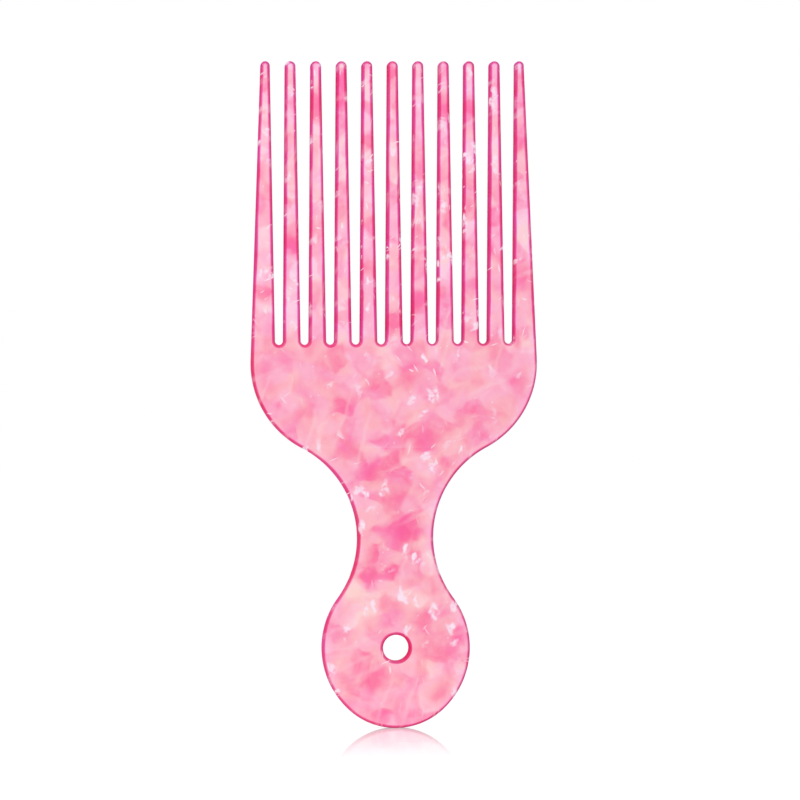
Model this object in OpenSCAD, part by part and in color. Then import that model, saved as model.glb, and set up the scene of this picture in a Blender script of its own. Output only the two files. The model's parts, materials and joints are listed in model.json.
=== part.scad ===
// Hair pick, cut from one flat sheet of marbled pearl acetate and polished.
// It stands on its round handle with the teeth up: X to the right, Y away from the viewer, Z up.
// The origin is the handle's lowest point, in the middle of the sheet's thickness.
// The sheet is divided face to face into named regions, which touch and don't overlap.

/* [Sheet] */
// Thickness of the sheet
sheet_t = 4; // [3:0.1:6]
// Radius of the polished edges
edge_r = 0.65; // [0.3:0.05:0.75]

/* [Teeth] */
// Number of teeth between the two guard teeth
inner_teeth = 9; // [7:1:13]
// Distance from the middle of one inner tooth to the next
pitch = 7.27; // [6.6:0.01:9]
// Length of a slot, from its round bottom to the tips of the teeth
slot_len = 80.4; // [50:0.1:110]
// Width of a slot between the tips
slot_tip_w = 4.32; // [2.6:0.01:4.6]
// Width of a slot at its round bottom
slot_root_w = 2.35; // [1.6:0.01:2.5]
// Width of a guard tooth at its tip
guard_tip_w = 2.55; // [2.2:0.01:4]
// Width of a guard tooth at its root
guard_root_w = 6.65; // [4.5:0.05:9]

/* [Shoulders and neck] */
// Height of the straight edge that runs on below the slot bottoms
straight_h = 4.3; // [2:0.05:12]
// Radius of the round shoulders
shoulder_r = 27.2; // [20:0.1:31]
// Radius of the hollow on each side of the neck
neck_r = 28.9; // [20:0.1:40]
// Width of the neck where it is narrowest
neck_w = 21.6; // [14:0.1:30]

/* [Handle] */
// Width of the round handle
handle_w = 42.2; // [36:0.1:52]
// Distance that each side arc's centre lies across the middle
side_offset = 2.75; // [1:0.01:4]
// Distance that the bottom arc's centre lies below the side arcs' centres
tail_drop = 3; // [1:0.01:3.6]
// Diameter of the hang hole
hang_hole_d = 7.4; // [5:0.1:12]

/* [Hidden] */
$fn = 96;

// Angle of a turned sector, a little under half a turn so that its two ends don't line up
sweep = 170;

// Overrun of a cut past the faces of the sheet
cut_over = 1;

acetate_pink = [0.96, 0.66, 0.77];

// Regions are drawn lying flat, with Y along the comb, and are stood up last.
// The slots' straight walls start at the centres of their round bottoms.
slot_root_r = slot_root_w/2;
wall_h = slot_len - slot_root_r;
outer_slot_x = inner_teeth/2*pitch;
root_half_w = outer_slot_x + slot_root_r + guard_root_w;
tip_half_w = outer_slot_x + slot_tip_w/2 + guard_tip_w;
flare = atan((root_half_w - tip_half_w)/wall_h);
spine_h = straight_h + slot_root_r;

// Arcs of the right side, from the bottom up, with each centre as [x, y]
side_r = handle_w/2 + side_offset;
tail_r = side_r - norm([side_offset, tail_drop]);
neck_x = neck_w/2 + neck_r;
shoulder_x = root_half_w + spine_h*tan(flare) - shoulder_r*cos(flare);
side_c = [-side_offset, tail_r + tail_drop];
neck_c = [neck_x, side_c[1] + rise(side_r + neck_r, neck_x - side_c[0])];
shoulder_c = [shoulder_x, neck_c[1] + rise(neck_r + shoulder_r, neck_x - shoulder_x)];

// Places of the flat seams between the regions, at the points where the arcs meet
handle_y = (side_c + side_r*unit(neck_c - side_c))[1];
neck_y = (shoulder_c + shoulder_r*unit(neck_c - shoulder_c))[1];
shoulder_y = shoulder_c[1] + shoulder_r*sin(flare);
root_y = shoulder_y + spine_h;
tip_y = root_y + wall_h;

// How far the second of two touching arcs' centres lies above the first
function rise(reach, run) = sqrt(reach*reach - run*run);
function unit(v) = v/norm(v);
// Room that a round tip takes beside its centre at its own top, as a share of its radius
function tip_room_share(lean) = (1 - sin(lean))/cos(lean);

module stood_up() {
    color(acetate_pink)
        rotate([90, 0, 0])
            children();
}

module mirrored_too() {
    children();
    mirror([1, 0, 0])
        children();
}

// Everything between two corners, through the whole thickness of the sheet and past it
module block(low, high) {
    translate([low[0], low[1], -sheet_t/2 - cut_over])
        cube([high[0] - low[0], high[1] - low[1], sheet_t + 2*cut_over]);
}

// What comes off the sheet's two corners at x = r to round them
module corner_waste(r, side_over) {
    for (side = [0, 1])
        mirror([0, side])
            translate([r, sheet_t/2])
                translate([-edge_r, -edge_r])
                    difference() {
                        square([edge_r + side_over, edge_r + cut_over]);
                        circle(edge_r);
                    }
}

// A section through the sheet, which reaches back by depth from its rounded edge at x = r
module edge_section(r, depth) {
    difference() {
        translate([r, 0])
            translate([-depth, -sheet_t/2])
                square([depth, sheet_t]);
        corner_waste(r, cut_over);
    }
}

// A section through the cutter of a hollow, which leaves a rounded edge at x = r
module hollow_section(r) {
    translate([0, -sheet_t/2 - cut_over])
        square([r, sheet_t + 2*cut_over]);
    translate([r, 0])
        mirror([1, 0])
            corner_waste(0, 0);
}

module hollow(centre, r) {
    translate([centre[0], centre[1], 0])
        rotate_extrude()
            hollow_section(r);
}

// Sheet with a straight rounded edge at x = r, which runs down from the X axis
module straight_edge(r, depth, length) {
    rotate([90, 0, 0])
        linear_extrude(height = length)
            edge_section(r, depth);
}

// Right half of a tooth: a leaning edge that runs into a round tip about the origin
module tooth_half(tip_r, lean, root_w) {
    intersection() {
        rotate([0, 0, lean])
            union() {
                straight_edge(tip_r, root_w, slot_len);
                rotate_extrude(angle = sweep)
                    edge_section(tip_r, tip_r);
            }
        block([0, tip_r - wall_h], [root_w, 2*tip_r]);
    }
}

// A tooth, from where its edges cross the height of its root and the height of its tip
module tooth(root_left, root_right, tip_left, tip_right) {
    left_lean = atan((tip_left - root_left)/wall_h);
    right_lean = atan((root_right - tip_right)/wall_h);
    left_share = tip_room_share(left_lean);
    tip_r = (tip_right - tip_left)/(left_share + tip_room_share(right_lean));
    root_w = root_right - root_left;
    stood_up()
        translate([tip_left + tip_r*left_share, tip_y - tip_r, 0])
            union() {
                tooth_half(tip_r, right_lean, root_w);
                mirror([1, 0, 0])
                    tooth_half(tip_r, left_lean, root_w);
            }
}

module inner_tooth(number) {
    middle = (number - (inner_teeth + 1)/2)*pitch;
    root_reach = (pitch - slot_root_w)/2;
    tip_reach = (pitch - slot_tip_w)/2;
    tooth(middle - root_reach, middle + root_reach, middle - tip_reach, middle + tip_reach);
}

module guard_tooth_right() {
    tooth(outer_slot_x + slot_root_r, root_half_w, outer_slot_x + slot_tip_w/2, tip_half_w);
}

module guard_tooth_left() {
    mirror([1, 0, 0])
        guard_tooth_right();
}

// Sheet to the left of the right flared edge, from well below the spine to well above it
module flared_sheet() {
    translate([root_half_w, root_y, 0])
        rotate([0, 0, flare])
            translate([0, spine_h, 0])
                straight_edge(0, 4*root_half_w, 4*spine_h);
}

// Straight-edged strip that carries the teeth and holds the round bottoms of the slots
module spine() {
    stood_up()
        difference() {
            intersection() {
                flared_sheet();
                mirror([1, 0, 0])
                    flared_sheet();
                block([-2*root_half_w, shoulder_y], [2*root_half_w, root_y]);
            }
            for (i = [0:inner_teeth])
                hollow([i*pitch - outer_slot_x, root_y], slot_root_r);
        }
}

// The two round shoulders, each of which reaches a little way into the sheet between them
module shoulder() {
    stood_up()
        union() {
            translate([-shoulder_x, neck_y, -sheet_t/2])
                cube([2*shoulder_x, shoulder_y - neck_y, sheet_t]);
            mirrored_too()
                intersection() {
                    translate([shoulder_c[0], shoulder_c[1], 0])
                        rotate_extrude()
                            edge_section(shoulder_r, shoulder_r);
                    block([shoulder_x - sheet_t, neck_y], [2*root_half_w, shoulder_y]);
                }
        }
}

// Narrow waist between the shoulders and the handle, with a round hollow on each side
module neck() {
    stood_up()
        difference() {
            translate([-neck_x, handle_y, -sheet_t/2])
                cube([2*neck_x, neck_y - handle_y, sheet_t]);
            mirrored_too()
                hollow(neck_c, neck_r);
        }
}

// The side arc's section, moved back by drop and kept from the axis outwards
module tail_section(drop) {
    intersection() {
        translate([-drop, 0])
            edge_section(side_r, side_r);
        translate([0, -sheet_t])
            square([side_r, 2*sheet_t]);
    }
}

// Right half of the handle: the side arc, and from where they meet the tighter bottom arc
module handle_half() {
    drop = side_r - tail_r;
    intersection() {
        translate([side_c[0], side_c[1], 0])
            rotate([0, 0, -atan(tail_drop/side_offset)])
                union() {
                    rotate_extrude(angle = sweep)
                        edge_section(side_r, side_r);
                    translate([drop, 0, 0])
                        mirror([0, 1, 0])
                            rotate_extrude(angle = sweep)
                                tail_section(drop);
                }
        block([0, -handle_w], [handle_w, handle_y]);
    }
}

// Round handle with the hang hole through its middle
module handle() {
    stood_up()
        difference() {
            mirrored_too()
                handle_half();
            hollow([0, side_c[1]], hang_hole_d/2);
        }
}

handle();
neck();
shoulder();
spine();
guard_tooth_left();
guard_tooth_right();
for (i = [1:inner_teeth])
    inner_tooth(i);
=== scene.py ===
import json
from math import atan, atan2, ceil, cos, hypot, pi, radians, sin, sqrt, tan

import bmesh
import bpy
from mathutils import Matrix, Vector


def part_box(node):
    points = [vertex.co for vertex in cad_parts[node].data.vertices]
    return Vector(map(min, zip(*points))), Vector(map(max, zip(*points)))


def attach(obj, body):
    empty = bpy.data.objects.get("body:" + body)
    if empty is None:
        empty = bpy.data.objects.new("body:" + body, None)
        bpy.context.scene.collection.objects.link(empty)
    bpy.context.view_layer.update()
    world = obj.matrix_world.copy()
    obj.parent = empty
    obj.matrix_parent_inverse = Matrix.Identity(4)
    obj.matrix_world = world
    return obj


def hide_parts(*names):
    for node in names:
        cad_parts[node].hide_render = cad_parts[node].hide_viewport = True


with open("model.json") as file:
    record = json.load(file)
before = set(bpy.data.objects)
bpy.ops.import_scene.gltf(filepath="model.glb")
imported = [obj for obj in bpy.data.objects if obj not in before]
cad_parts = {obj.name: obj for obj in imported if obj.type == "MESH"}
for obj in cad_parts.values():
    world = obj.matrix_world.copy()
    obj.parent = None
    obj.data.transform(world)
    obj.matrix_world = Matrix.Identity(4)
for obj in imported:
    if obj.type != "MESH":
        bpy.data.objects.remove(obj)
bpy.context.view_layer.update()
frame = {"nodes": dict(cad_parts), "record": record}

# COMB, ITS OUTLINE
# The real comb is one flat sheet of marbled pearl acetate. It is sawn to this outline: a round
# handle, a hollow neck, round shoulders, two flared guard teeth, and the slots between the teeth.
mm = 0.001
shoulder_r = 27.2*mm
neck_r = 28.9*mm
neck_w = 21.6*mm
handle_w = 42.2*mm
side_offset = 2.75*mm
tail_drop = 3*mm
slot_tip_w = 4.32*mm
guard_tip_w = 2.55*mm

# The rest of the outline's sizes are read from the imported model
inner_teeth = sum(name.startswith("tooth_") for name in frame["nodes"])
tooth_low, tooth_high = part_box("tooth_1")
sheet_t = tooth_high.y - tooth_low.y
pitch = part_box("tooth_2")[0].x - tooth_low.x
slot_root_r = (pitch - (tooth_high.x - tooth_low.x))/2
root_y, tip_y = tooth_low.z, tooth_high.z
root_half_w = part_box("guard_tooth_right")[1].x
shoulder_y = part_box("spine")[0].z
hang_hole = next(m for m in frame["record"]["mounts"] if m["name"] == "hang_hole")
hole_c = Vector((hang_hole["pos_m"][0], hang_hole["pos_m"][2]))
hole_r = hang_hole["dims"]["r_mm"]*mm

wall_h = tip_y - root_y
outer_slot_x = inner_teeth/2*pitch
tip_half_w = outer_slot_x + slot_tip_w/2 + guard_tip_w
flare = atan((root_half_w - tip_half_w)/wall_h)
wall_lean = atan((slot_tip_w/2 - slot_root_r)/wall_h)


def arc(centre, radius, start, end, turn=radians(5)):
    """Points along an arc from one angle to another, both ends included."""
    steps = ceil(abs(end - start)/turn)
    angles = [start + (end - start)*i/steps for i in range(steps + 1)]
    return [centre + radius*Vector((cos(a), sin(a))) for a in angles]


def heading(start, end):
    """The direction from one point to another, as an angle."""
    return atan2(end.y - start.y, end.x - start.x)


def tip_arc(left, right, left_lean, right_lean):
    """The round tip of a tooth, whose walls reach left and right at the height of the tip."""
    left_room = (1 - sin(left_lean))/cos(left_lean)
    right_room = (1 - sin(right_lean))/cos(right_lean)
    radius = (right - left)/(left_room + right_room)
    centre = Vector((left + radius*left_room, tip_y - radius))
    return arc(centre, radius, right_lean, pi - left_lean)


# Arcs of the right side, which touch one another from the bottom up
side_r = handle_w/2 + side_offset
tail_r = side_r - hypot(side_offset, tail_drop)
tail_c = Vector((0, tail_r))
side_c = Vector((-side_offset, tail_r + tail_drop))
neck_x = neck_w/2 + neck_r
neck_rise = sqrt((side_r + neck_r)**2 - (neck_x - side_c.x)**2)
neck_c = Vector((neck_x, side_c.y + neck_rise))
shoulder_x = root_half_w + (root_y - shoulder_y)*tan(flare) - shoulder_r*cos(flare)
shoulder_rise = sqrt((neck_r + shoulder_r)**2 - (neck_x - shoulder_x)**2)
shoulder_c = Vector((shoulder_x, neck_c.y + shoulder_rise))

fine = radians(2)
right_side = [
    *arc(tail_c, tail_r, -pi/2, heading(side_c, tail_c), fine),
    *arc(side_c, side_r, heading(side_c, tail_c), heading(side_c, neck_c), fine)[1:],
    *arc(neck_c, neck_r, heading(neck_c, side_c) + 2*pi, heading(neck_c, shoulder_c), fine)[1:],
    *arc(shoulder_c, shoulder_r, heading(neck_c, shoulder_c) - pi, flare, fine)[1:],
    *tip_arc(outer_slot_x + slot_tip_w/2, tip_half_w, -wall_lean, flare),
    *arc(Vector((outer_slot_x, root_y)), slot_root_r, 0, -pi/2),
]
left_side = [Vector((-p.x, p.y)) for p in reversed(right_side)]
hole_rim = arc(hole_c, hole_r, 0, -2*pi, fine)[:-1]

# One inner tooth with the slot bottoms beside it, about the line through its middle
right_slot = arc(Vector((pitch/2, root_y)), slot_root_r, -pi/2, -pi)
tip_reach = (pitch - slot_tip_w)/2
left_slot = [Vector((-p.x, p.y)) for p in reversed(right_slot)]
tooth_outline = [*right_slot, *tip_arc(-tip_reach, tip_reach, wall_lean, wall_lean), *left_slot]


def wire(name, *loops):
    """A mesh of edges alone, lying flat. Each loop is its points and whether it closes."""
    points, edges = [], []
    for loop, closed in loops:
        first = len(points)
        points += [(p.x, p.y, 0) for p in loop]
        edges += [(i, i + 1) for i in range(first, len(points) - 1)]
        edges += [(len(points) - 1, first)] if closed else []
    mesh = bpy.data.meshes.new(name)
    mesh.from_pydata(points, edges, [])
    return bpy.data.objects.new(name, mesh)


body_wire = wire("body_wire", (left_side + right_side[1:], False), (hole_rim, True))
tooth_wire = wire("tooth_wire", (tooth_outline, False))

# COMB, ITS ROUNDED EDGE
# The sawn edges are tumbled and polished until they are round. The section starts on the front
# face, where the deep colour of the edge fades out, and runs over the wall to the back face.
edge_r = 0.65*mm
rim_w = 1.2*mm
rounding = arc(Vector((edge_r, sheet_t/2 - edge_r)), edge_r, pi/2, pi, turn=radians(11))
front_edge = [Vector((rim_w, sheet_t/2)), Vector(((rim_w + edge_r)/2, sheet_t/2)), *rounding]
back_edge = [Vector((p.x, -p.y)) for p in reversed(front_edge)]
edge_section = front_edge + back_edge
edge_wire = wire("edge_wire", ([Vector((-p.x, p.y)) for p in edge_section], False))
inset = edge_wire.data.attributes.new("inset", "FLOAT", "POINT")
inset.data.foreach_set("value", [p.x for p in edge_section])


def add(tree, kind, inputs=None, **settings):
    """A new node with its settings, and each named or numbered input linked or set."""
    node = tree.nodes.new(kind)
    for name, value in settings.items():
        setattr(node, name, value)
    for name, value in (inputs or {}).items():
        if isinstance(value, bpy.types.NodeSocket):
            tree.links.new(value, node.inputs[name])
        else:
            node.inputs[name].default_value = value
    return node


tree = bpy.data.node_groups.new("comb_sheet", "GeometryNodeTree")
for name, kind in (
    ("Body outline", "NodeSocketGeometry"), ("Tooth outline", "NodeSocketObject"),
    ("Edge section", "NodeSocketObject"), ("Inner teeth", "NodeSocketInt"),
    ("Pitch", "NodeSocketFloat"), ("Thickness", "NodeSocketFloat"),
    ("Rim width", "NodeSocketFloat"), ("Material", "NodeSocketMaterial"),
):
    tree.interface.new_socket(name, in_out="INPUT", socket_type=kind)
tree.interface.new_socket("Comb", in_out="OUTPUT", socket_type="NodeSocketGeometry")
given = tree.nodes.new("NodeGroupInput").outputs

# The tooth outline is repeated along the row and joined to the body's ends
ends_meet = 0.01*mm
spaces = add(tree, "ShaderNodeMath", {0: given["Inner teeth"], 1: 1.0}, operation="SUBTRACT")
row_w = add(tree, "ShaderNodeMath", {0: spaces.outputs[0], 1: given["Pitch"]}, operation="MULTIPLY")
row_start = add(tree, "ShaderNodeMath", {0: row_w.outputs[0], 1: -0.5}, operation="MULTIPLY")
start = add(tree, "ShaderNodeCombineXYZ", {"X": row_start.outputs[0]})
step = add(tree, "ShaderNodeCombineXYZ", {"X": given["Pitch"]})
row = add(tree, "GeometryNodeMeshLine", {
    "Count": given["Inner teeth"], "Start Location": start.outputs[0], "Offset": step.outputs[0]})
tooth = add(tree, "GeometryNodeObjectInfo", {"Object": given["Tooth outline"]})
teeth = add(tree, "GeometryNodeInstanceOnPoints", {
    "Points": row.outputs["Mesh"], "Instance": tooth.outputs["Geometry"]})
teeth = add(tree, "GeometryNodeRealizeInstances", {"Geometry": teeth.outputs[0]})
outline = add(tree, "GeometryNodeJoinGeometry", {"Geometry": given["Body outline"]})
tree.links.new(teeth.outputs[0], outline.inputs["Geometry"])
outline = add(tree, "GeometryNodeMergeByDistance", {
    "Geometry": outline.outputs[0], "Distance": ends_meet})
outline = add(tree, "GeometryNodeMeshToCurve", {"Mesh": outline.outputs[0]})
outline = add(tree, "GeometryNodeSetCurveNormal", {"Curve": outline.outputs[0]}, mode="Z_UP")

# The edge section runs along the whole outline and round the hang hole
section = add(tree, "GeometryNodeObjectInfo", {"Object": given["Edge section"]})
section = add(tree, "GeometryNodeMeshToCurve", {"Mesh": section.outputs["Geometry"]})
rim = add(tree, "GeometryNodeCurveToMesh", {
    "Curve": outline.outputs[0], "Profile Curve": section.outputs[0]})

# Each face of the sheet is filled up to the rim, whose innermost edges are its border. Their inset
# is the rim's whole width, but for a little rounding.
nearly_all = 0.999
seam_meets = 0.001*mm
far_in = add(tree, "GeometryNodeInputNamedAttribute", {"Name": "inset"}, data_type="FLOAT")
full_w = add(tree, "ShaderNodeMath", {0: given["Rim width"], 1: nearly_all}, operation="MULTIPLY")
innermost = add(tree, "FunctionNodeCompare", {
    "A": far_in.outputs["Attribute"], "B": full_w.outputs[0]},
    data_type="FLOAT", operation="GREATER_THAN")
position = add(tree, "GeometryNodeInputPosition")
position = add(tree, "ShaderNodeSeparateXYZ", {0: position.outputs[0]})
parts = [rim.outputs[0]]
for face_side, test in ((1, "GREATER_THAN"), (-1, "LESS_THAN")):
    this_side = add(tree, "FunctionNodeCompare", {"A": position.outputs["Z"], "B": 0.0},
                    data_type="FLOAT", operation=test)
    border = add(tree, "FunctionNodeBooleanMath", {
        0: innermost.outputs[0], 1: this_side.outputs[0]}, operation="AND")
    border = add(tree, "GeometryNodeMeshToCurve", {
        "Mesh": rim.outputs[0], "Selection": border.outputs[0]})
    face = add(tree, "GeometryNodeFillCurve", {"Curve": border.outputs[0]})
    lift = add(tree, "ShaderNodeMath", {
        0: given["Thickness"], 1: face_side/2}, operation="MULTIPLY")
    lift = add(tree, "ShaderNodeCombineXYZ", {"Z": lift.outputs[0]})
    face = add(tree, "GeometryNodeSetPosition", {
        "Geometry": face.outputs[0], "Offset": lift.outputs[0]})
    face = add(tree, "GeometryNodeStoreNamedAttribute", {
        "Geometry": face.outputs[0], "Name": "inset", "Value": given["Rim width"]},
        data_type="FLOAT")
    parts.append(face.outputs[0])
sheet = add(tree, "GeometryNodeJoinGeometry")
for part in parts:
    tree.links.new(part, sheet.inputs["Geometry"])
sheet = add(tree, "GeometryNodeMergeByDistance", {
    "Geometry": sheet.outputs[0], "Distance": seam_meets})
sheet = add(tree, "GeometryNodeTransform", {
    "Geometry": sheet.outputs[0], "Rotation": (pi/2, 0, 0)})
sheet = add(tree, "GeometryNodeSetShadeSmooth", {"Geometry": sheet.outputs[0]})
sheet = add(tree, "GeometryNodeRealizeInstances", {"Geometry": sheet.outputs[0]})
sheet = add(tree, "GeometryNodeSetMaterial", {
    "Geometry": sheet.outputs[0], "Material": given["Material"]})
add(tree, "NodeGroupOutput", {"Comb": sheet.outputs[0]})

# COMB, ITS MARBLED ACETATE
# The sheet is pressed from soft chips in several pinks, with pearl essence stirred in, so it shows
# clouds, pale shards, slivers and specks all through. Along an edge the light has further to go
# through the sheet, so the colour there is painted much deeper, as painted shade.
acetate = bpy.data.materials.new("marbled_acetate")
acetate.use_nodes = True
marble = acetate.node_tree
marble.nodes.clear()


def ink(red, green, blue):
    """A colour as it is seen on a screen, from 0 to 255, made linear for the shader."""
    parts = [c/255 for c in (red, green, blue)]
    return [c/12.92 if c < 0.04045 else ((c + 0.055)/1.055)**2.4 for c in parts] + [1]


def vector_math(operation, first, second, output=0):
    node = add(marble, "ShaderNodeVectorMath", {0: first, 1: second}, operation=operation)
    return node.outputs[output]


def maths(operation, total, *others):
    for other in others:
        node = add(marble, "ShaderNodeMath", {0: total, 1: other}, operation=operation)
        total = node.outputs[0]
    return total


def plus(*values):
    return maths("ADD", *values)


def minus(*values):
    return maths("SUBTRACT", *values)


def times(*values):
    return maths("MULTIPLY", *values)


def largest(*values):
    return maths("MAXIMUM", *values)


def noise(where, size, detail=2.0, output="Fac"):
    """Soft noise with features of about that size in millimetres."""
    return add(marble, "ShaderNodeTexNoise", {
        "Vector": where, "Scale": 1/size, "Detail": detail}).outputs[output]


def moved(where, x, y, z):
    """The place moved by millimetres, so that each noise has a pattern of its own."""
    return vector_math("ADD", where, (x, y, z))


def stirred(where, size, reach):
    """The place moved about by up to half of reach, in swirls of that size, in millimetres."""
    swirl = vector_math("SUBTRACT", noise(where, size, 1.0, "Color"), (0.5, 0.5, 0.5))
    return vector_math("ADD", where, vector_math("MULTIPLY", swirl, (reach, reach, reach)))


def rising(value, low, high, top=1.0):
    """0 below low and top above high, with a soft step between them."""
    return add(marble, "ShaderNodeMapRange", {
        "Value": value, "From Min": low, "From Max": high, "To Max": top},
        interpolation_type="SMOOTHSTEP").outputs[0]


def falling(value, low, high, top=1.0):
    """top below low and 0 above high, with a soft step between them."""
    return add(marble, "ShaderNodeMapRange", {
        "Value": value, "From Min": low, "From Max": high, "To Min": top, "To Max": 0.0},
        interpolation_type="SMOOTHSTEP").outputs[0]


def between(value, low, full, still_full, high):
    """1 from full to still_full, and 0 below low and above high."""
    return times(rising(value, low, full), falling(value, still_full, high))


def mixed(share, below, above, how="MIX"):
    return add(marble, "ShaderNodeMix", {0: share, 6: below, 7: above},
               data_type="RGBA", blend_type=how).outputs[2]


def tinted(colour, tint):
    return mixed(1.0, colour, tint, "MULTIPLY")


def distance(where, centre):
    """How far a place in the middle of the sheet lies from a point of the outline."""
    return vector_math("DISTANCE", where, (centre.x/mm, 0, centre.y/mm), "Value")


def flakes(where, angle, length, width, share, soft=0.1):
    """Flakes of that size, lying at that angle, in that share of the cells of a loose grid."""
    turned = add(marble, "ShaderNodeMapping", {
        "Vector": where, "Location": (angle, length, 0), "Rotation": (0, 0, radians(angle)),
        "Scale": (2.5*length, 2.5*width, 1)}, vector_type="TEXTURE").outputs[0]
    cells = add(marble, "ShaderNodeTexVoronoi", {"Vector": turned, "Scale": 1.0},
                voronoi_dimensions="2D").outputs
    lot = add(marble, "ShaderNodeSeparateColor", {0: cells["Color"]}).outputs
    flake_edge = 0.2
    flake = falling(cells["Distance"], flake_edge - soft, flake_edge + soft)
    return times(flake, falling(lot["Red"], 0.9*share, 1.1*share))


def gathered(where, spots, inner=0.4, outer=1.5, narrow=1.0):
    """1 in the middle of each spot and 0 around it, right through the sheet.

    inner and outer say where a spot starts to fade and where it ends, in times its reach, and
    narrow how many times as high as wide it is.
    """
    where = vector_math("MULTIPLY", where, (narrow, 0, 1))
    total = 0.0
    for x, z, reach in spots:
        away = vector_math("DISTANCE", where, (narrow*x, 0, z), "Value")
        total = plus(total, falling(away, inner*reach, outer*reach))
    return maths("MINIMUM", total, 1.0)


# Lengths are in millimetres from here to the end of the material, apart from those of the inset
place = add(marble, "ShaderNodeTexCoord").outputs["Object"]
place = vector_math("MULTIPLY", place, (1/mm, 1/mm, 1/mm))
inset = add(marble, "ShaderNodeAttribute", attribute_name="inset").outputs["Fac"]
axes = add(marble, "ShaderNodeSeparateXYZ", {0: place}).outputs
across, through, height = axes["X"], axes["Y"], axes["Z"]
up_teeth = rising(height, root_y/mm - 3, root_y/mm + 4)
on_body = minus(1.0, up_teeth)
to_right = rising(across, -8, 8)

# Where the main clouds and pearl lie in the real sheet, each as across, up and reach: the deepest
# clouds, weaker ones, peach-coloured places, pearly ones, and the largest bare flakes of pearl
hot_spots = (
    (-6.3, 14, 3.4), (18, 26.4, 3), (-6.8, 42.9, 2.8), (-1.7, 43.7, 2.4), (3.4, 57.5, 4.2),
    (7.3, 121, 3.2), (-29.1, 138, 3), (-7.3, 167, 2.6), (-21.8, 176, 4.2), (-14.5, 184, 3.4),
    (-14.5, 178, 2.8), (0, 186.5, 2.4), (14.5, 177, 3.8), (21.8, 176, 2.8))
faded_spots = (
    (-14, 8, 3), (14, 22, 3), (7.4, 31, 3.6), (-1.5, 34, 3.4), (-2, 64, 3), (-8, 74, 3.4),
    (0, 79.6, 3.2), (-12.8, 80.2, 3.2), (9.6, 82, 3.4), (-30.5, 86, 4), (19.5, 88, 2.8),
    (-16, 90, 3), (-26, 91, 2.8), (35, 98, 2.8), (-36.5, 98.5, 4.6), (3.5, 100.5, 3.2),
    (-31, 106.5, 4), (0, 115, 3), (-21.8, 123, 3.2), (-36, 124, 4), (37, 127, 4),
    (-7.3, 131, 3), (14.5, 158, 3), (7.3, 159, 3), (35.5, 167, 3.6))
peach_spots = (
    (9, 15.5, 3.6), (-16.8, 18.7, 3), (-14, 24, 4.4), (-8.6, 30.5, 5), (3, 33.6, 2.4),
    (-12.5, 39.3, 3), (-4.9, 51.8, 2.6), (7.4, 52.4, 2.2), (-14.8, 75.2, 3), (30, 86, 3.6),
    (-36.5, 141, 6))
pearl_spots = (
    (-16.8, 11.8, 3), (12, 29.7, 3), (-10, 31, 4.4), (5.7, 35.4, 3), (2.3, 37.9, 2.6),
    (-10.8, 38.5, 4), (7, 50, 4), (-3.7, 65.5, 4), (10.6, 73.7, 3), (-13.7, 74.5, 3.4),
    (-20.5, 89, 3.4), (6, 91.4, 3), (-33, 101.6, 2.8), (24.5, 103, 4), (20.5, 108, 4),
    (-29.1, 119, 5), (21.8, 120, 4), (35.7, 122, 3), (-38, 129, 2.4), (14.5, 133, 6),
    (-7.3, 161, 3), (29.1, 163, 5), (21.8, 164, 5), (0, 165.5, 3), (-36.8, 167, 3),
    (29.1, 179, 3), (-29.1, 182, 4), (-21.8, 185, 3))
bright_spots = (
    (-14.6, 25.5, 1), (3.2, 27.7, 1.9), (16.2, 28.6, 1.5), (10.9, 33, 2.6), (-8.5, 33.4, 1.4),
    (16.3, 34.4, 1.3), (-6.1, 34.7, 1.9), (5.8, 36, 1.8), (2.8, 36.3, 1.3), (1.6, 38.2, 2),
    (5.3, 49, 1.1), (2.9, 50.4, 1.9), (-9.7, 57.1, 1.9), (-7.8, 66.6, 1), (-3.9, 67, 1.4),
    (18.8, 78.6, 1.3), (-25.7, 79.5, 1.1), (8.6, 105, 1.3), (18.5, 106.3, 1),
    (-28.7, 114.8, 1.5), (-36.5, 119.1, 1.2), (-7.5, 120, 1.4), (-30, 121.6, 1.4),
    (-7.6, 126.8, 1.4), (-38, 129.6, 1.1), (-22, 138.5, 1.2), (-14.8, 143, 1.1),
    (14.3, 148.3, 1.5), (7.4, 152.9, 1.4), (-7, 161, 1.4), (21.5, 161.4, 1.8),
    (29.1, 161.5, 2), (0, 164.3, 1.6), (-36, 169.4, 1.3), (7, 176.8, 1.3), (29, 181, 1.6),
    (-28.8, 181.3, 1.3), (21.6, 186, 1.5))
hot = gathered(stirred(stirred(place, 3.5, 4.4), 1.4, 1.1), hot_spots)
faded = gathered(stirred(stirred(place, 4.5, 6), 1.6, 1.6), faded_spots, 0.2, 1.7)
hot = largest(hot, times(faded, 0.6))
peach = gathered(stirred(place, 5, 5), peach_spots, 0.2)
pearl = gathered(stirred(place, 3.5, 3), pearl_spots)
bright = gathered(stirred(stirred(place, 2.4, 2.6), 0.8, 0.6), bright_spots, 0.55, 1.35, 2.1)

# Clouds: soft chips, each with a tone of its own, run together with larger and finer mottling. The
# lower the tone, the deeper the pink, and a deep cloud leaves little of the chip's own tone.
swirled = stirred(place, 9, 7)
chips = add(marble, "ShaderNodeTexVoronoi", {
    "Vector": stirred(swirled, 3, 1.5), "Scale": 1/5.5, "Smoothness": 0.36}, feature="SMOOTH_F1")
chip = add(marble, "ShaderNodeSeparateColor", {0: chips.outputs["Color"]}).outputs["Red"]
mottling = plus(noise(moved(swirled, 40, 0, 0), 7, 1.0), noise(moved(swirled, 0, 0, 55), 2.6))
tone = plus(times(chip, 0.42), times(mottling, 0.4), times(pearl, 0.12), times(peach, 0.07))
hot_tone = plus(times(chip, 0.14), 0.16)
tone = minus(tone, times(hot, 0.88, minus(tone, hot_tone)))

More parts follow.
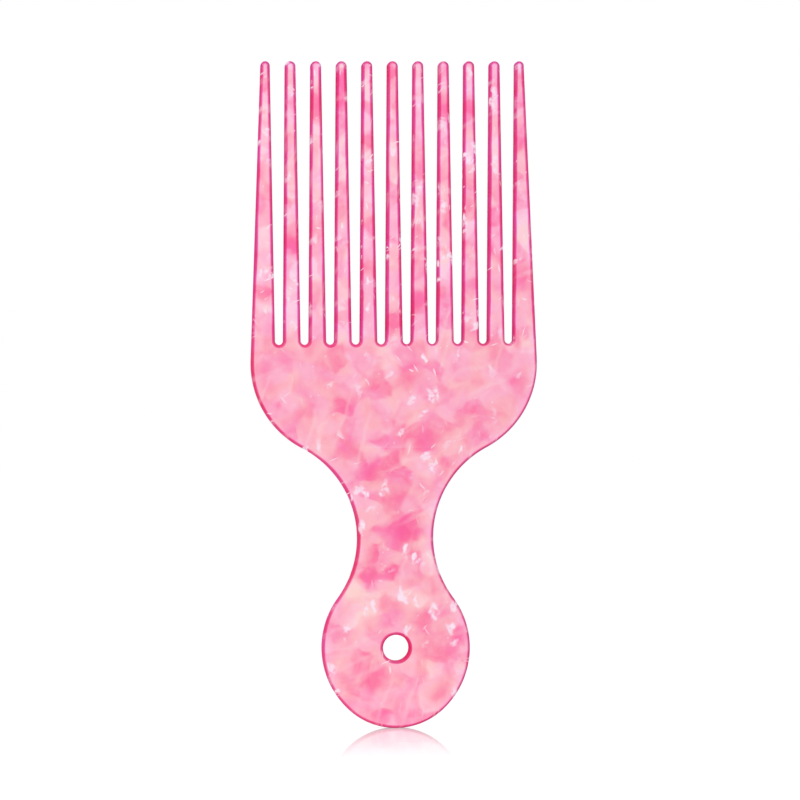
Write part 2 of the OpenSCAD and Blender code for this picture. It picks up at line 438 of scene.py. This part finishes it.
# The teeth are paler than the body, and so is the body just inside its deep edge, where light
# comes in. How far a place lies inside the outline comes from the arc nearest to its height.
mirrored = maths("ABSOLUTE", across, 0.0)
half = add(marble, "ShaderNodeCombineXYZ", {"X": mirrored, "Z": height}).outputs[0]
inside = minus(side_r/mm, distance(half, side_c))
neck_low = side_c.lerp(neck_c, side_r/(side_r + neck_r)).y
neck_high = neck_c.lerp(shoulder_c, neck_r/(neck_r + shoulder_r)).y
for seam, further_up in ((neck_low, minus(distance(half, neck_c), neck_r/mm)),
                         (neck_high, minus(shoulder_r/mm, distance(half, shoulder_c)))):
    above = maths("GREATER_THAN", height, seam/mm)
    inside = add(marble, "ShaderNodeMix", {0: above, 2: inside, 3: further_up}).outputs[0]
palest = 0.09
glow = times(falling(inside, 1.2, 3.8, palest), minus(rising(height, 0, 10), up_teeth))
glow = plus(glow, times(up_teeth, palest))
tone = plus(tone, glow)

# The marbling is stronger in the teeth, and they are palest near the tips. The neck is a little
# deeper, and the handle a little paler.
contrast = times(minus(tone, 0.68), up_teeth, 0.32)
tone = plus(tone, contrast, rising(height, 140, 178, 0.08))
tone = minus(tone, times(between(height, 42, 50, 70, 80), 0.06))
tone = plus(tone, falling(height, 38, 46, 0.035))
clouds = add(marble, "ShaderNodeValToRGB", {0: minus(tone, 0.06)})
ramp = clouds.color_ramp
ramp.elements[0].position, ramp.elements[0].color = 0.1, ink(251, 92, 155)
ramp.elements[1].position, ramp.elements[1].color = 0.95, ink(254, 206, 218)
for stop, colour in ((0.28, ink(252, 124, 169)), (0.42, ink(252, 152, 183)),
                     (0.55, ink(253, 170, 193)), (0.75, ink(254, 186, 203))):
    ramp.elements.new(stop).color = colour
cool_tint, warm_tint, peach_tint = (1.0, 0.98, 1.05, 1), (1.0, 1.02, 0.94, 1), (1.0, 1.04, 0.94, 1)
glow_tint = (1.0, 1.0, 1.05, 1)
warm = rising(noise(moved(swirled, 0, 0, 90), 7), 0.38, 0.62)
base = tinted(clouds.outputs[0], mixed(warm, cool_tint, warm_tint))
base = mixed(times(glow, 9.0), base, tinted(base, glow_tint))
base = mixed(peach, base, tinted(base, peach_tint))

# The painted deep edge is thinner at the tips, which are painted paler as if lit from above, and on
# the body's right side. It is wider at the handle's foot, as painted contact shade where it meets
# the floor, on the right of the hole, as painted shade on the wall seen slantwise there, and in
# stretches beside the neck and on the left shoulder. Its width wanders along the whole outline, and
# it ends within the rim.
# Painted light: the tips are painted paler, as if lit from above
lit_tips = rising(height, tip_y/mm - 2, tip_y/mm - 0.6)
# Painted contact shade: the deep edge is wider where the foot meets the floor
foot_shade = falling(height, 0.6, 2.5, 0.3)
hole_away = distance(vector_math("MULTIPLY", place, (1, 0, 1)), hole_c)
hole_right = rising(across, -1, 3)
# Painted shade: the deep edge is wider on the right of the hole, whose wall is seen slantwise
hole_shade = times(falling(hole_away, hole_r/mm + 0.5, hole_r/mm + 1.3, 0.5), hole_right)
left_stretches = largest(between(height, 36, 44, 56, 66), between(height, 84, 92, 104, 109))
left_deep = times(falling(across, -8, 0), left_stretches)
right_deep = times(rising(across, 0, 8), between(height, 34, 42, 64, 78))
wandering = rising(noise(moved(place, 25, 0, 0), 16, 1.0), 0.3, 0.7, 0.36)
thinner = plus(times(lit_tips, 0.2), times(on_body, plus(times(to_right, 0.28), 0.07)), wandering)
wider = plus(times(plus(left_deep, right_deep), 0.18), foot_shade, hole_shade)
deep_inset = times(inset, minus(plus(thinner, 0.67), wider))
deep_inset = plus(deep_inset, rising(inset, 0.8*mm, rim_w, 0.5*mm))

# It is the cloud's own colour, deepened, and a little bluer where it fades out
depth = falling(deep_inset, 0.4*mm, 1.04*mm, 1.5)
deep = add(marble, "ShaderNodeGamma", {0: base, 1: plus(depth, 1.0)}).outputs[0]
deep = mixed(times(depth, 0.28), deep, ink(247, 108, 168))
bluer = mixed(up_teeth, (1.0, 0.98, 1.06, 1), (1.0, 0.98, 1.16, 1))
deep = mixed(falling(inset, 0.95*mm, rim_w), deep, tinted(deep, bluer))

# Its outermost line is painted crimson, the deepest of the painted shade, duskier at the tips and
# on the body's right side, and purest in the stretches on the left, on the wall of the hole and, as
# painted contact shade, where the foot meets the floor
crimson = tinted(deep, (0.76, 0.14, 0.66, 1))
crimson = mixed(0.4, crimson, mixed(rising(tone, 0.3, 0.8), ink(225, 6, 92), ink(220, 54, 124)))
dusky = tinted(crimson, (0.78, 0.95, 0.98, 1))
crimson = mixed(largest(lit_tips, times(on_body, to_right)), crimson, dusky)
crimson = mixed(times(left_deep, 0.85), crimson, ink(224, 0, 90))
# Painted shade: the right wall of the hole, seen slantwise, is crimson right through
hole_wall_shade = times(falling(hole_away, hole_r/mm + 0.45, hole_r/mm + 0.85), hole_right)
crimson = mixed(hole_wall_shade, crimson, ink(230, 6, 96))
# Painted contact shade: the bottom edge is crimson where the foot meets the floor
crimson = mixed(falling(height, 0.3, 1.2, 0.6), crimson, ink(222, 24, 108))
# Where the crimson painted shade covers the rim line, and also the hole's right wall and the foot
painted_rim_shade = times(falling(deep_inset, 0.3*mm, 0.8*mm), minus(1.0, times(on_body, 0.16)))
base = mixed(largest(painted_rim_shade, hole_wall_shade, falling(height, 0.2, 0.7)), deep, crimson)

# Pearl: streaks, pale shards, slivers at several angles with glints among them in the teeth, and
# specks. Shards and slivers are thickest in the pearly places. A flake lies askew in the sheet, so
# it comes out at another place on the other face.
flat_place = add(marble, "ShaderNodeCombineXYZ", {
    "X": plus(across, times(through, 0.9)), "Y": plus(height, times(through, 0.6))}).outputs[0]
cluster = largest(rising(noise(moved(place, 0, 70, 0), 9, 1.0), 0.45, 0.7), pearl)
cluster = plus(cluster, times(up_teeth, 0.2))
bent = stirred(flat_place, 7, 3)
streaks = largest(flakes(bent, 72, 14, 1, 0.25, 0.2), flakes(bent, 22, 12, 1.2, 0.2, 0.2))
base = mixed(times(streaks, 0.22), base, ink(254, 220, 226))

jagged = stirred(stirred(flat_place, 3, 2.5), 0.9, 0.9)
shards = largest(flakes(jagged, 110, 3.6, 1.5, 0.26), flakes(jagged, 40, 2.8, 1.3, 0.22))
worn = rising(noise(place, 1.1), 0.3, 0.5)
shards = times(shards, plus(times(cluster, 0.8), 0.05), worn)
bright = times(bright, rising(noise(moved(place, 0, 30, 0), 2), 0.3, 0.6))
base = mixed(largest(shards, bright), base, ink(252, 228, 244))

ragged = stirred(stirred(flat_place, 7, 1.2), 1.1, 0.45)
slivers = 0.0
for angle, length, width, share in (
    (48, 1.8, 0.32, 0.012), (77, 3.2, 0.26, 0.012), (102, 2, 0.4, 0.012),
    (128, 2.2, 0.32, 0.01), (165, 1.3, 0.4, 0.01), (20, 2.4, 0.28, 0.008),
):
    slivers = largest(slivers, flakes(ragged, angle, length, width, share))
slivers = times(slivers, plus(times(cluster, 0.6), 0.22))
glints = largest(flakes(ragged, 35, 1.2, 0.28, 0.02), flakes(ragged, 88, 1.5, 0.26, 0.02))
slivers = largest(slivers, times(glints, up_teeth, 0.6))
base = mixed(slivers, base, ink(254, 232, 242))
specks = flakes(ragged, 60, 0.6, 0.35, 0.01)
base = mixed(times(specks, 0.45), base, ink(254, 234, 243))

# The tumbled edge has a satin polish, and the pressed faces a bright one
satin = falling(deep_inset, 0.05*mm, 0.5*mm, 0.6)
gloss = plus(largest(rising(noise(place, 9, 3.0), 0.3, 0.7, 0.08), satin), 0.1)
ripple = add(marble, "ShaderNodeBump", {
    "Height": noise(place, 12, 1.0), "Strength": 0.12, "Distance": 0.4*mm}).outputs[0]
surface = add(marble, "ShaderNodeBsdfPrincipled", {
    "Base Color": base, "Roughness": gloss, "IOR": 1.48, "Specular IOR Level": 0.4,
    "Normal": ripple})
add(marble, "ShaderNodeOutputMaterial", {"Surface": surface.outputs[0]})

# The finished sheet is one plain mesh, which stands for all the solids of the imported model
made = body_wire.modifiers.new("comb_sheet", "NODES")
made.node_group = tree
for name, value in (
    ("Tooth outline", tooth_wire), ("Edge section", edge_wire), ("Inner teeth", inner_teeth),
    ("Pitch", pitch), ("Thickness", sheet_t), ("Rim width", rim_w), ("Material", acetate),
):
    made[tree.interface.items_tree[name].identifier] = value
bpy.context.scene.collection.objects.link(body_wire)
now = bpy.context.evaluated_depsgraph_get()
comb = bpy.data.objects.new("comb", bpy.data.meshes.new_from_object(body_wire.evaluated_get(now)))
comb.data.name = "comb"
bpy.context.scene.collection.objects.link(comb)
for drawn in (body_wire, tooth_wire, edge_wire):
    bpy.data.objects.remove(drawn)

solid = bmesh.new()
solid.from_mesh(comb.data)
bmesh.ops.recalc_face_normals(solid, faces=solid.faces)
solid.to_mesh(comb.data)
solid.free()

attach(comb, "root")
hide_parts(*frame["nodes"])

# FLOOR
# The comb stands on its handle on a sheet of white gloss acrylic, which mirrors the handle faintly
# near the foot and fades to plain white.
floor_half = 3.0
mesh = bpy.data.meshes.new("floor")
mesh.from_pydata([(-floor_half, -floor_half, 0), (floor_half, -floor_half, 0),
                  (floor_half, floor_half, 0), (-floor_half, floor_half, 0)], [], [(0, 1, 2, 3)])
floor = bpy.data.objects.new("floor", mesh)
bpy.context.scene.collection.objects.link(floor)
acrylic = bpy.data.materials.new("white_acrylic")
acrylic.use_nodes = True
white = acrylic.node_tree
white.nodes.clear()


def looked_at(tree):
    """1 for a ray from the camera, also by way of gloss or glass, and 0 for one of plain light."""
    rays = add(tree, "ShaderNodeLightPath").outputs
    seen = rays["Is Camera Ray"]
    for ray in ("Is Glossy Ray", "Is Transmission Ray"):
        seen = add(tree, "ShaderNodeMath", {0: seen, 1: rays[ray]}, operation="MAXIMUM").outputs[0]
    return seen


# Where it is looked at, four fifths of it is an even white, and one fifth is lit and so keeps the
# comb's shadow, soft. The mirror image is strongest at the foot.
even_share, even_level = 0.8, 1.125
mirror_share, mirror_full, mirror_gone = 0.55, 12*mm, 98*mm
even_part = add(white, "ShaderNodeMath", {0: looked_at(white), 1: even_share}, operation="MULTIPLY")
lit = add(white, "ShaderNodeBsdfDiffuse", {"Color": (0.9, 0.9, 0.9, 1)})
even = add(white, "ShaderNodeEmission", {"Color": (1, 1, 1, 1), "Strength": even_level})
plain = add(white, "ShaderNodeMixShader", {
    0: even_part.outputs[0], 1: lit.outputs[0], 2: even.outputs[0]})
from_foot = add(white, "ShaderNodeTexCoord").outputs["Object"]
from_foot = add(white, "ShaderNodeVectorMath", {0: from_foot}, operation="LENGTH")
mirror_part = add(white, "ShaderNodeMapRange", {
    "Value": from_foot.outputs["Value"], "From Min": mirror_full, "From Max": mirror_gone,
    "To Min": mirror_share, "To Max": 0.0})
mirror = add(white, "ShaderNodeBsdfAnisotropic", {"Color": (1, 1, 1, 1), "Roughness": 0.02})
sheen = add(white, "ShaderNodeMixShader", {
    0: mirror_part.outputs[0], 1: plain.outputs[0], 2: mirror.outputs[0]})
add(white, "ShaderNodeOutputMaterial", {"Surface": sheen.outputs[0]})
mesh.materials.append(acrylic)

# STUDIO LIGHT
# A white tent lights the comb evenly from all round, with two soft boxes before it and one above.
# The tent is seen as pure white, and gives a little over half of that as light.
world = bpy.data.worlds.new("studio")
bpy.context.scene.world = world
world.use_nodes = True
tent = world.node_tree
as_light, as_seen = 0.56, 1.0
level = add(tent, "ShaderNodeMapRange", {
    "Value": looked_at(tent), "To Min": as_light, "To Max": as_seen})
tent.nodes["Background"].inputs["Color"].default_value = (1, 1, 1, 1)
tent.links.new(level.outputs[0], tent.nodes["Background"].inputs["Strength"])
box_w = 0.5
comb_middle = Vector((0, 0, 0.1))
for name, stand, power in (("left_box", (-0.55, -0.75, 0.55), 2.65),
                           ("right_box", (0.65, -0.7, 0.45), 0.7),
                           ("top_box", (0.0, -0.1, 0.8), 2.15)):
    light = bpy.data.lights.new(name, "AREA")
    light.shape = "SQUARE"
    light.size = box_w
    light.energy = power
    lamp = bpy.data.objects.new(name, light)
    lamp.location = stand
    lamp.rotation_euler = (comb_middle - Vector(stand)).to_track_quat("-Z", "Y").to_euler()
    bpy.context.scene.collection.objects.link(lamp)

# CAMERA
# A long lens, about level with the middle of the comb and a little to its left. It looks a little
# to the right and down, and is turned by a hair on its own axis.
to_the_right, down, turned_by = radians(4.588), radians(0.49), radians(-0.345)
camera = bpy.data.objects.new("camera", bpy.data.cameras.new("camera"))
bpy.context.scene.collection.objects.link(camera)
bpy.context.scene.camera = camera
camera.location = (-86.6*mm, -1100*mm, 102.7*mm)
camera.rotation_mode = "XYZ"
view = Vector((sin(to_the_right), cos(to_the_right), -tan(down)))
camera.rotation_euler = view.to_track_quat("-Z", "Y").to_euler()
camera.rotation_euler.rotate_axis("Z", turned_by)
camera.data.lens = 174.5
camera.data.clip_start = 0.05
bpy.context.scene.view_settings.view_transform = "Standard"
